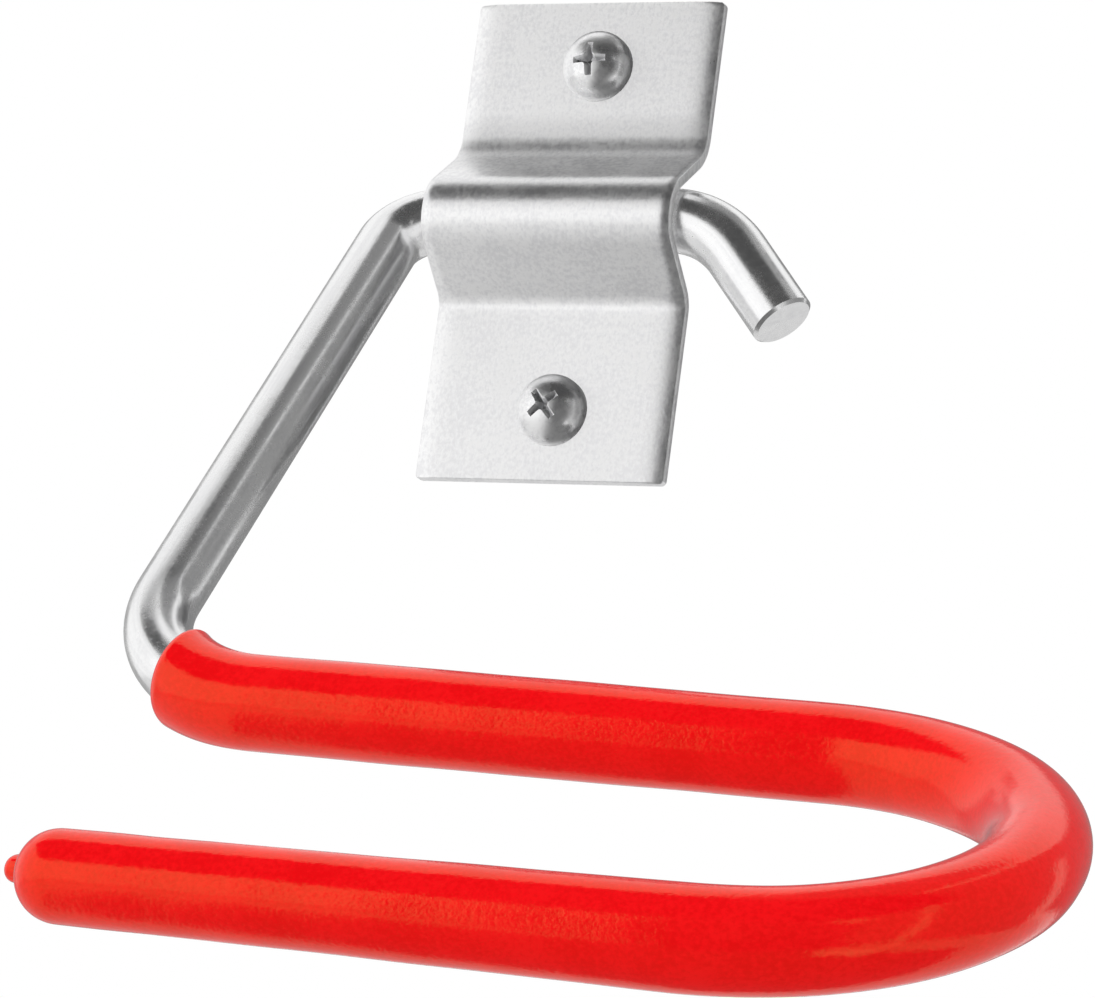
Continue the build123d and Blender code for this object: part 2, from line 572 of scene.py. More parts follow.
@dataclass(frozen=True)
class ZincRod:
    """Bright zinc plate on drawn bar: smooth, with faint drawing lines along it.

    Scales are in features per metre; stretch is how little the lines change along the bar.
    """

    name: str = "zinc_rod"
    light: Colour = (0.94, 0.94, 0.94, 1.0)
    dull: Colour = (0.80, 0.80, 0.81, 1.0)
    smooth: float = 0.17
    rough: float = 0.30
    line: float = 900.0
    stretch: float = 0.03
    grain: float = 1400.0
    cloud: float = 168.0
    tone_span: Span = (0.32, 0.60)
    rough_span: Span = (0.3, 0.7)
    relief: float = 0.25
    relief_depth: float = 0.00002

    def material(self) -> bpy.types.Material:
        """Build the node material.

        Formula: tone is a weighted sum of drawing lines, grain and clouds, and roughness one of
        grain and clouds, each eased over a span of values; the relief is the lines with the grain.

        Returns:
            The material.
        """
        g = Graph(self.name)
        where = g.along()
        lengthwise = g.stretched(where, (self.stretch, 1.0, 1.0))
        drawn = g.noise(lengthwise, self.line, detail=4.0, roughness=0.6)
        grain = g.noise(where, self.grain, detail=3.0, roughness=0.6)
        cloud = g.noise(where, self.cloud, detail=2.0)
        tone = (drawn * 0.45 + grain * 0.25 + cloud * 0.3).over(*self.tone_span)
        colour = g.blend(tone, self.dull, self.light)
        roughness = (cloud * 0.5 + grain * 0.5).over(*self.rough_span).between(self.smooth, self.rough)
        normal = g.relief(drawn * 0.7 + grain * 0.5, self.relief, self.relief_depth)
        return g.finish({"Base Color": colour, "Metallic": 1.0, "Roughness": roughness, "Normal": normal})


@dataclass(frozen=True)
class ZincScrew:
    """Bright zinc plate on cold-headed screws: smoother than the sheet, with painted shade in the recess.

    The pattern coordinates hold the depth under the dome in metres, and the colour turns from the plating's
    to a painted shade between the depths shade_from and shade_full, darkening the recess where shade falls.
    """

    name: str = "zinc_screw"
    light: Colour = (0.97, 0.97, 0.97, 1.0)
    dull: Colour = (0.78, 0.78, 0.79, 1.0)
    smooth: float = 0.24
    rough: float = 0.38
    grain: float = 1800.0
    cloud: float = 360.0
    tone_span: Span = (0.35, 0.60)
    rough_span: Span = (0.35, 0.65)
    relief: float = 0.2
    relief_depth: float = 0.00002
    # Painted shade: the colour of the deepest part of the cross recess
    recess_painted_shade: Colour = (0.42, 0.42, 0.43, 1.0)
    shade_from: float = 0.0002
    shade_full: float = 0.0012

    def material(self) -> bpy.types.Material:
        """Build the node material.

        Formula: tone is a weighted sum of grain and clouds, eased over a span of values, and then
        turns to a painted shade with depth in the recess; roughness follows the clouds, and the relief the
        grain.

        Returns:
            The material.
        """
        g = Graph(self.name)
        where = g.place()
        grain = g.noise(where, self.grain, detail=3.0, roughness=0.6)
        cloud = g.noise(where, self.cloud, detail=2.0)
        tone = (grain * 0.5 + cloud * 0.5).over(*self.tone_span)
        colour = g.blend(tone, self.dull, self.light)
        # Painted shade: the colour darkens with depth in the cross recess, standing in for the shade there
        shade = g.height(g.along()).over(self.shade_from, self.shade_full)
        colour = g.blend(shade, colour, self.recess_painted_shade)
        roughness = cloud.over(*self.rough_span).between(self.smooth, self.rough)
        normal = g.relief(grain, self.relief, self.relief_depth)
        return g.finish({"Base Color": colour, "Metallic": 1.0, "Roughness": roughness, "Normal": normal})


@dataclass(frozen=True)
class RedDip:
    """Dipped vinyl: a deep even red with a half gloss and a faintly pebbled skin."""

    name: str = "red_vinyl"
    red: Colour = (0.98, 0.001, 0.008, 1.0)
    deep: Colour = (0.87, 0.0, 0.005, 1.0)
    sheen: Colour = (1.0, 0.96, 0.32, 1.0)
    gloss: float = 0.55
    smooth: float = 0.05
    rough: float = 0.12
    pebble: float = 1500.0
    cloud: float = 105.0
    tone_span: Span = (0.38, 0.60)
    rough_span: Span = (0.3, 0.7)
    pebble_relief: float = 0.35
    pebble_depth: float = 0.00010
    cloud_relief: float = 0.3
    cloud_depth: float = 0.00025

    def material(self) -> bpy.types.Material:
        """Build the node material.

        Formula: tone and roughness are weighted sums of pebbles and clouds, each eased over a span
        of values; the relief of the pebbles lies on a wider one of the clouds.

        Returns:
            The material.
        """
        g = Graph(self.name)
        where = g.along()
        pebble = g.noise(where, self.pebble, detail=3.0, roughness=0.6)
        cloud = g.noise(where, self.cloud, detail=3.0)
        tone = (pebble * 0.6 + cloud * 0.4).over(*self.tone_span)
        colour = g.blend(tone, self.deep, self.red)
        roughness = (pebble * 0.5 + cloud * 0.5).over(*self.rough_span).between(self.smooth, self.rough)
        under = g.relief(cloud, self.cloud_relief, self.cloud_depth)
        normal = g.relief(pebble, self.pebble_relief, self.pebble_depth, under)
        return g.finish(
            {
                "Base Color": colour,
                "Metallic": 0.0,
                "Roughness": roughness,
                "Specular IOR Level": self.gloss,
                "Specular Tint": self.sheen,
                "Normal": normal,
            }
        )


# The bracket


@dataclass
class HookRoute:
    """The rod's centre line, from the same named sizes as the part's source, in millimetres."""

    rod_r: float = 5.0
    axis_y: float = -5.1
    saddle_z: float = 2.0
    stop_vertex_x: float = 24.0
    stop_turn: float = 50.0
    stop_length: float = 21.0
    stop_bend_r: float = 15.5
    arm_vertex_x: float = -28.9
    arm_from_wall: float = 37.0
    arm_length: float = 116.0
    arm_bend_r: float = 7.5
    corner_bend_r: float = 20.0
    prong_toe_in: float = 8.0
    prong_drop: float = 0.7
    rear_prong_reach: float = 141.5
    loop_bend_r: float = 36.0
    loop_straight: float = 2.0
    loop_dip: float = 30.0
    front_prong_reach: float = 118.4
    route: Route = field(init=False)

    def __post_init__(self) -> None:
        """Work out the corner points and the route.

        Formula: each corner is the one before plus a unit direction times a length. The loop is two
        quarter bends with a short straight between them, so its square outer corners lie two bend
        radii and that straight apart.
        """
        stop, arm = np.radians(self.stop_turn), np.radians(self.arm_from_wall)
        toe, drop, dip = (np.radians(a) for a in (self.prong_toe_in, self.prong_drop, self.loop_dip))
        stop_dir = np.array([np.cos(stop), 0, -np.sin(stop)])
        arm_dir = np.array([0, -np.sin(arm), -np.cos(arm)])
        prong_dir = np.array([np.cos(toe) * np.cos(drop), np.sin(toe) * np.cos(drop), -np.sin(drop)])
        dip_dir = np.array([0, -np.cos(dip), -np.sin(dip)])
        loop_dir = unit(dip_dir - prong_dir * (dip_dir @ prong_dir))
        stop_vertex = np.array([self.stop_vertex_x, self.axis_y, self.saddle_z])
        arm_vertex = np.array([self.arm_vertex_x, self.axis_y, self.saddle_z])
        corner_vertex = arm_vertex + arm_dir * self.arm_length
        rear_loop_corner = corner_vertex + prong_dir * self.rear_prong_reach
        front_loop_corner = rear_loop_corner + loop_dir * (2 * self.loop_bend_r + self.loop_straight)
        front_tip = front_loop_corner - prong_dir * self.front_prong_reach
        self.route = Route(
            [
                stop_vertex + stop_dir * self.stop_length,
                stop_vertex,
                arm_vertex,
                corner_vertex,
                rear_loop_corner,
                front_loop_corner,
                front_tip,
            ],
            [self.stop_bend_r, self.arm_bend_r, self.corner_bend_r, self.loop_bend_r, self.loop_bend_r],
            WALL_NORMAL,
        )

    def corner(self) -> Tuple[float, float]:
        """Find the corner bend, the third along the route.

        Returns:
            Where it starts along the route, and the angle of its outer side in radians.
        """
        leg = [leg for leg in self.route.legs if leg.axis is not None][2]
        lift = np.cross(leg.head, leg.side)
        return leg.at, float(np.arctan2(-leg.inward @ lift, -leg.inward @ leg.side))


@dataclass
class SaddlePlate:
    """The bent strip that holds the rod: flanges, hump, rolled long edges and two screw holes."""

    left: float = -22.5
    right: float = 19.5
    thickness: float = 2.0
    height: float = 78.0
    saddle_z: float = 2.0
    hump_front_y: float = -12.7
    hump_half_width: float = 3.6
    hump_slope: float = 51.0
    crest_r: float = 6.0
    upper_root_r: float = 6.5
    lower_root_r: float = 4.0
    corner_r: float = 0.8
    hole_z: float = 28.0
    hole_r: float = 3.0
    hole_blend: float = 6.0
    roll_depth: float = 0.5
    roll_width: float = 4.8
    hump_roll_width: float = 2.2
    roll_change: float = 6.0
    edge_r: float = 0.22
    end_chamfer: float = 0.12
    cell: float = 0.375
    coarse: float = 1.0
    bend_step: float = 4.0
    least_step: float = 0.02
    rounding: int = 5
    close_lines: Tuple[float, ...] = (0.06, 0.14, 0.26, 0.42, 0.62, 0.86, 1.14, 1.46, 1.82, 2.22, 2.66, 3.2)
    crease: float = 35.0
    finish: ZincSheet = field(default_factory=ZincSheet)

    def midline(self) -> Route:
        """The strip's middle surface seen from the side, from the top end to the bottom end.

        Formula: the front outline of the source moved back by half the thickness; at a mitred corner
        that shifts the corner along the wall by half the thickness times tan(slope / 2).

        Returns:
            The route.
        """
        half = self.thickness / 2
        slope = np.radians(self.hump_slope)
        run = (-self.hump_front_y - self.thickness) / np.tan(slope)
        shift = half * np.tan(slope / 2)
        crest_y, flange_y = self.hump_front_y + half, -half
        top, low = self.saddle_z + self.hump_half_width - shift, self.saddle_z - self.hump_half_width + shift
        corners = [
            (0, flange_y, self.height / 2),
            (0, flange_y, top + run),
            (0, crest_y, top),
            (0, crest_y, low),
            (0, flange_y, low - run),
            (0, flange_y, -self.height / 2),
        ]
        radii = [self.upper_root_r, self.crest_r, self.crest_r, self.lower_root_r]
        return Route([np.array(c) for c in corners], radii, WALL_NORMAL)

    def spacing(self, low: float, high: float, holes: Sequence[float]) -> Array:
        """Grid lines from low to high: close at the ends and round the holes, wide elsewhere.

        Args:
            low: First line.
            high: Last line.
            holes: Middles of the holes along this direction.

        Returns:
            Rising positions.
        """
        near = np.array(self.close_lines)
        lines = [np.array([low, high]), low + near, high - near]
        marks = [low + near[-1]]
        for middle in holes:
            cells = int(round(self.hole_blend / self.cell))
            lines.append(middle + np.arange(-cells, cells + 1) * self.cell)
            marks += [middle - self.hole_blend, middle + self.hole_blend]
        marks.append(high - near[-1])
        for begin, end in zip(marks[::2], marks[1::2]):
            lines.append(np.linspace(begin, end, max(2, int(np.ceil((end - begin) / self.coarse)) + 1)))
        return np.unique(np.round(np.concatenate(lines), 5))

    def rounded_hole(self, x: Array, s: Array, middle: float) -> Tuple[Array, Array]:
        """Bend the square grid round a hole into circles.

        Formula: a point whose larger offset from the hole's middle is q moves to distance q from it
        in its own direction, wholly at the hole's edge and not at all at hole_blend.

        Args:
            x: Positions across the strip.
            s: Positions along the strip, same shape.
            middle: The hole's middle along the strip.

        Returns:
            The moved x and s.
        """
        dx, ds = x, s - middle
        square = np.maximum(np.abs(dx), np.abs(ds))
        round_off = np.hypot(dx, ds)
        pull = 1 - smoothstep(self.hole_r, self.hole_blend, square)
        factor = 1 + pull * (square / np.maximum(round_off, TINY) - 1)
        return dx * factor, middle + ds * factor

    def lay(self, route: Route, x: Array, s: Array, lift: Array) -> Array:
        """Put points of the flat strip on the bent one.

        Formula: point = middle surface at s + x along X + lift along the surface's outward normal.
        Near the two ends the strip narrows by its corner radius.

        Args:
            route: The strip's midline.
            x: Positions across.
            s: Positions along.
            lift: Height over the middle surface.

        Returns:
            Points of the shape of x with a last axis of three.
        """
        flat_s = np.clip(s.ravel(), 0, route.length)
        stations = route.at(flat_s)
        from_end = np.minimum(flat_s, route.length - flat_s)
        inside = np.clip(self.corner_r - from_end, 0, self.corner_r)
        narrow = self.corner_r - np.sqrt(self.corner_r**2 - inside**2)
        middle = (self.left + self.right) / 2
        half = (self.right - self.left) / 2
        across = middle + (x.ravel() - middle) * (half - narrow) / half
        points = stations.point + stations.side * lift.ravel()[:, None]
        points[:, 0] = across
        return points.reshape(*x.shape, 3)

    def front_lift(self, route: Route, x: Array, s: Array) -> Array:
        """Height of the front face over the middle surface.

        Formula: half the thickness, less a roll that grows with the cube of the way into a band
        along each sheared long edge. The band is narrower on the hump than on the flanges.

        Args:
            route: The strip's midline.
            x: Positions across.
            s: Positions along, same shape.

        Returns:
            Heights of the same shape.
        """
        bends = [leg for leg in route.legs if leg.axis is not None]
        begin, end = bends[0].at, bends[-1].at + bends[-1].length
        on_hump = smoothstep(begin, begin + self.roll_change, s)
        on_hump = on_hump * (1 - smoothstep(end - self.roll_change, end, s))
        width = self.roll_width + (self.hump_roll_width - self.roll_width) * on_hump
        gap = np.minimum(x - self.left, self.right - x)
        return self.thickness / 2 - self.roll_depth * np.clip(1 - gap / width, 0, 1) ** 3

    def skin(self) -> Skin:
        """Front, back, both sheared sides, both ends and the two holes as one closed surface.

        Formula: a grid over the flat strip, fine round the holes, where it is bent into circles, and
        at the edges, is laid on the bent midline for the front and for the back.

        Returns:
            The gathered patches.
        """
        route = self.midline()
        middles = [self.height / 2 - self.hole_z, route.length - (self.height / 2 - self.hole_z)]
        x = self.spacing(self.left, self.right, [0.0])
        bends = route.spread(0, route.length, self.coarse, self.bend_step)
        inner = bends[(bends > middles[0] + self.hole_blend) & (bends < middles[1] - self.hole_blend)]
        s = self.spacing(0, route.length, middles)
        keep = (s <= middles[0] + self.hole_blend) | (s >= middles[1] - self.hole_blend)
        s = np.unique(np.round(np.concatenate([s[keep], inner]), 5))
        s = s[np.concatenate([[True], np.diff(s) > self.least_step])]
        grid_x, grid_s = np.meshgrid(x, s)
        for middle in middles:
            near = np.abs(grid_s - middle) <= self.hole_blend
            moved_x, moved_s = self.rounded_hole(grid_x, grid_s, middle)
            grid_x, grid_s = np.where(near, moved_x, grid_x), np.where(near, moved_s, grid_s)
        mid_x, mid_s = (x[1:] + x[:-1]) / 2, (s[1:] + s[:-1]) / 2
        in_hole = np.zeros((len(mid_s), len(mid_x)), bool)
        for middle in middles:
            near_s = np.abs(mid_s - middle) < self.hole_r
            in_hole |= near_s[:, None] & (np.abs(mid_x) < self.hole_r)[None, :]
        ends = np.minimum(s, route.length - s)
        soft = self.end_chamfer * np.clip(1 - ends / self.end_chamfer, 0, 1)[:, None]
        inset_x = np.clip(grid_x, self.left + self.edge_r, self.right - self.edge_r)
        front = self.lay(route, inset_x, grid_s, self.front_lift(route, inset_x, grid_s) - soft)
        back = self.lay(route, inset_x, grid_s, -self.thickness / 2 + soft + 0 * grid_x)
        made = Skin()
        made.grid(front, drop=in_hole)
        made.grid(back[:, ::-1], drop=in_hole[:, ::-1])
        sides = [self.side_wall(route, s, *side, soft) for side in ((self.left, -1.0), (self.right, 1.0))]
        for side in sides:
            made.grid(side)
        for row in (0, -1):
            made.grid(np.stack([front[row], back[row]]))
        for row in (0, -1):
            for side in sides:
                made.face(side[row])
        for middle in middles:
            made.grid(self.hole_wall(route, middle), closed=True)
        return made

    def side_wall(self, route: Route, s: Array, edge: float, sign: float, soft: Array) -> Array:
        """One sheared side: a small front rounding, the wall, and a small back rounding.

        Formula: quarter circles of edge_r at both corners, joined by a straight wall.

        Args:
            route: The strip's midline.
            s: Positions along the strip.
            edge: The side's x.
            sign: One for the right side, minus one for the left.
            soft: How much each end is chamfered, shape (positions, 1).

        Returns:
            Points of shape (positions, profile, 3).
        """
        turn = np.linspace(0, np.pi / 2, self.rounding)
        inset = edge - sign * self.edge_r
        top = self.front_lift(route, np.full_like(s, inset), s)[:, None]
        low = -self.thickness / 2
        out, back = self.edge_r * np.sin(turn), self.edge_r * (1 - np.cos(turn))
        x = inset + sign * np.concatenate([out, out[::-1]])
        rows = np.ones((len(s), 1))
        lift = np.concatenate([top - back, rows * (low + back)[::-1]], axis=1)
        grid_x = x * rows
        squeeze = np.clip(lift, low + soft, top - soft)
        return self.lay(route, grid_x, s[:, None] * np.ones((1, len(x))), squeeze)

    def hole_wall(self, route: Route, middle: float) -> Array:
        """The wall of a hole between the two faces.

        Formula: the square ring of grid points at the hole's edge, bent into a circle as the faces
        are, joined straight through the thickness.

        Args:
            route: The strip's midline.
            middle: The hole's middle along the strip.

        Returns:
            Points of shape (2, ring, 3).
        """
        cells = int(round(self.hole_r / self.cell))
        steps = np.arange(-cells, cells) * self.cell
        edge = cells * self.cell
        ring_x = np.concatenate([steps, np.full(2 * cells, edge), -steps, np.full(2 * cells, -edge)])
        ring_s = np.concatenate([np.full(2 * cells, -edge), steps, np.full(2 * cells, edge), -steps])
        x, s = self.rounded_hole(ring_x, middle + ring_s, middle)
        half = self.thickness / 2 * np.ones_like(x)
        return np.stack([self.lay(route, x, s, half), self.lay(route, x, s, -half)])

    def build(self) -> bpy.types.Object:
        """Make the plate, dress it and put it on its body in place of its CAD node.

        Returns:
            The piece.
        """
        made = self.skin().piece("saddle_plate", self.crease)
        made.data.materials.append(self.finish.material())
        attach(made, Body.BRACKET.value)
        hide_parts("wall_plate")
        return made


@dataclass
class RodBar:
    """The bent bar with its sheared and chamfered short end."""

    line: HookRoute
    chamfer: float = 0.5
    end_dish: float = 0.12
    around: int = 72
    hidden_end: float = 2.8
    first_step: float = 0.3
    run_step: float = 3.0
    bend_step: float = 2.5
    end_rings: int = 9
    end_core: float = 0.08
    crease: float = 28.0
    finish: ZincRod = field(default_factory=ZincRod)

    def skin(self) -> Skin:
        """The bar's round side, its chamfer, its dished cut face and its hidden end.

        Formula: radius as a function of distance, constant but for the chamfer; the cut face sinks
        towards its middle as one minus the square of the share of the radius.

        Returns:
            The gathered patches.
        """
        route, radius = self.line.route, self.line.rod_r
        angles = np.linspace(0, 2 * np.pi, self.around, endpoint=False)
        stop = route.length - self.hidden_end
        body = route.spread(self.chamfer + self.first_step, stop, self.run_step, self.bend_step)
        distances = np.concatenate([[0.0, self.chamfer], body])
        radii = np.where(distances < self.chamfer / 2, radius - self.chamfer, radius)
        points, along = tube(route.at(distances), radii, angles)
        made = Skin()
        made.grid(points, along, closed=True)
        shares = np.linspace(1, self.end_core, self.end_rings)
        rings = (radius - self.chamfer) * shares
        sink = self.end_dish * (1 - shares**2)
        start = route.at(np.zeros(1))
        sunk = start.point + sink[:, None] * start.tangent
        across = [np.repeat(way, len(sink), 0) for way in (start.tangent, start.side, start.lift)]
        face, face_along = tube(Stations(sink, sunk, *across), rings, angles)
        made.grid(face, face_along, closed=True)
        made.fan(face[-1], start.point[0] + start.tangent[0] * self.end_dish, None)
        made.fan(points[-1], route.at(np.array([stop])).point[0], None)
        return made

    def build(self) -> bpy.types.Object:
        """Make the bar, dress it and put it on its body in place of its CAD node.

        Returns:
            The piece.
        """
        made = self.skin().piece("rod_bar", self.crease)
        made.data.materials.append(self.finish.material())
        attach(made, Body.HOOK.value)
        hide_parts("hook_rod")
        made.visible_glossy = False
        return made


@dataclass
class DippedCoat:
    """The red coat: a rolled mouth, an uneven body that thins to the tip, and a closed end with a drip.

    The mouth lies start_turn degrees along the corner, tilted by mouth_tilt degrees to the rod; the
    tilt fades out over mouth_fade. seam is where the coat leaves the rod behind the mouth's plane.
    """

    line: HookRoute
    thickness: float = 2.0
    tip_thickness: float = 1.2
    start_turn: float = 54.5
    mouth_tilt: float = 21.0
    lip: float = 1.7
    lip_step: float = 0.6
    mouth_fade: float = 14.0
    seam: float = 0.15
    waviness: float = 0.045
    wave_sink: float = 2.2
    calm_mouth: float = 12.0
    calm_tip: Span = (14.0, 6.0)
    dome_power: float = 2.1
    bore_end: float = 2.8
    drip_r: float = 1.95
    drip_out: float = 1.75
    drip_rise: float = 0.45
    drip_edge: float = 2.6
    drip_round: float = 0.45
    around: int = 96
    lip_rings: int = 12
    tip_rings: int = 62
    tip_start: float = 0.08
    after_lip: float = 0.6
    run_step: float = 2.0
    bend_step: float = 2.0
    bore_run_step: float = 6.0
    bore_bend_step: float = 5.0
    crease: float = 50.0
    finish: RedDip = field(default_factory=RedDip)

    def mouth_at(self) -> float:
        """Where the middle of the mouth lies along the route."""
        return self.line.corner()[0] + self.line.corner_bend_r * np.radians(self.start_turn)

    def outer_radius(self, distances: Array, angles: Array) -> Array:
        """Outer radius over distance and angle.

        Formula: rod radius plus coat thickness, falling evenly to the tip's thickness along the
        front prong, plus three slow sine waves along and around, each with its own length, turns
        around and share. wave_sink keeps their crests under the coat's radius, and they fade out at
        the mouth and before the tip.

        Args:
            distances: Shape (n,).
            angles: Shape (m,).

        Returns:
            Shape (n, m).
        """
        line, end = self.line, self.line.route.length
        taper_length = line.front_prong_reach - line.loop_bend_r
        share = np.clip((distances - end + taper_length) / taper_length, 0, 1)[:, None]
        body = line.rod_r + self.thickness + (self.tip_thickness - self.thickness) * share
        d, a = distances[:, None], angles[None, :]
        waves = (
            np.sin(d * 0.21 + 1.3 * np.sin(a)) * 0.5
            + np.sin(d * 0.083 - 2 * a + 0.7) * 0.6
            + np.sin(d * 0.37 + 3 * a) * 0.25
        )
        far, near = self.calm_tip
        calm = smoothstep(0, self.calm_mouth, distances - distances[0])
        calm = calm * (1 - smoothstep(-far, -near, distances - end))
        return body + self.waviness * (waves - self.wave_sink) * calm[:, None]

    def slanted(self, distances: Array, radii: Array, angles: Array) -> Tuple[Array, Array]:
        """Points on circles about the route, the first of them in the slanted plane of the mouth.

        Formula: a point r cos(angle) outside the corner's centre line lies further along by the bend
        radius times the angle whose tangent is that offset times tan(mouth_tilt) over its own bend
        radius; this fades out over mouth_fade.

        Args:
            distances: Distances of the rows before the slant.
            radii: Radius over rows and angles.
            angles: Angles of the columns.

        Returns:
            Points and pattern coordinates, each of shape (rows, columns, 3).
        """
        outer = self.line.corner()[1]
        bend = self.line.corner_bend_r
        out = radii * np.cos(angles - outer)
        slant = bend * np.arctan2(out * np.tan(np.radians(self.mouth_tilt)), bend + out)
        fade = 1 - smoothstep(0, self.mouth_fade, distances - self.mouth_at())
        every = distances[:, None] + fade[:, None] * slant
        stations = self.line.route.at(every.ravel())
        shape = (*every.shape, 3)
        across = radii * np.cos(angles)
        rise = radii * np.sin(angles)
        points = (
            stations.point.reshape(shape)
            + across[..., None] * stations.side.reshape(shape)
            + rise[..., None] * stations.lift.reshape(shape)
        )
        return points, np.stack([every, across, rise], axis=-1)

    def skin(self) -> Skin:
        """Mouth, body, closed tip and inner bore as one closed surface.

        Formula: the outer skin is a tube whose radius varies; at the mouth the profile is a small
        step off the rod and then a quarter ellipse; at the tip it is a superellipse of dome_power.

        Returns:
            The gathered patches.
        """
        route, rod_r = self.line.route, self.line.rod_r
        angles = np.linspace(0, 2 * np.pi, self.around, endpoint=False)
        begin = self.mouth_at()
        sweep = np.linspace(0, np.pi / 2, self.lip_rings)
        body = route.spread(begin + self.lip + self.after_lip, route.length, self.run_step, self.bend_step)
        seam = begin + self.seam
        distances = np.concatenate([[seam], begin + self.lip * (1 - np.cos(sweep)), body])
        radii = self.outer_radius(distances, angles)
        low = rod_r + self.lip_step
        radii[1 : len(sweep) + 1] = low + (radii[0] - low) * np.sin(sweep)[:, None]
        radii[0] = rod_r
        points, along = self.slanted(distances, radii, angles)
        made = Skin()
        made.grid(points, along, closed=True)
        self.close_tip(made, points[-1], along[-1], route.at(np.array([route.length])).tangent[0])
        stop = route.length - self.bore_end
        past_mouth = route.spread(begin + self.mouth_fade, stop, self.bore_run_step, self.bore_bend_step)
        inner = np.concatenate([[seam], past_mouth])
        bore, bore_along = self.slanted(inner, np.full((len(inner), self.around), rod_r), angles)
        made.grid(bore[:, ::-1], bore_along[:, ::-1], closed=True)
        made.fan(bore[-1][::-1], route.at(np.array([stop])).point[0], None)
        return made

    def close_tip(self, made: Skin, ring: Array, ring_along: Array, head: Array) -> None:
        """Close the front end with a blunt dome and its drip.

        Formula: depth over share of the radius is a superellipse of dome_power; the drip swells the
        dome by one minus the share of the drip's radius to the power drip_edge, all of it to the
        power drip_round.

        Args:
            made: The skin to add to.
            ring: The last ring of the body.
            ring_along: Its pattern coordinates.
            head: Direction of the route at its end.
        """
        centre = ring.mean(0)
        radius = self.line.rod_r + self.tip_thickness
        shares = np.cos(np.linspace(self.tip_start, np.pi / 2, self.tip_rings))[:-1]
        shares = np.concatenate([[1.0], shares])
        depth = radius * (1 - shares**self.dome_power) ** (1 / self.dome_power)
        points = centre + shares[:, None, None] * (ring - centre) + depth[:, None, None] * head
        up = unit(np.array([0.0, 0.0, 1.0]) - head * head[2])
        from_drip = points - centre - up * self.drip_rise
        aside = from_drip - (from_drip @ head)[..., None] * head
        reach = np.linalg.norm(aside, axis=-1) / self.drip_r
        swell = self.drip_out * np.clip(1 - reach**self.drip_edge, 0, 1) ** self.drip_round
        points = points + swell[..., None] * head
        along = np.concatenate([ring_along[None, :, :]] * len(shares))
        along = along * shares[:, None, None]
        along[..., 0] = ring_along[0, 0] + depth[:, None]
        made.grid(points, along, closed=True)
        pole = points[-1].mean(0)
        made.fan(points[-1], pole, np.vstack([along[-1], along[-1].mean(0)]))

    def build(self) -> bpy.types.Object:
        """Make the coat, dress it and put it on its body in place of its CAD node.

        Returns:
            The piece.
        """
        made = self.skin().piece("dipped_coat", self.crease)
        made.data.materials.append(self.finish.material())
        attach(made, Body.HOOK.value)
        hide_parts("vinyl_sleeve")
        made.visible_glossy = False
        return made


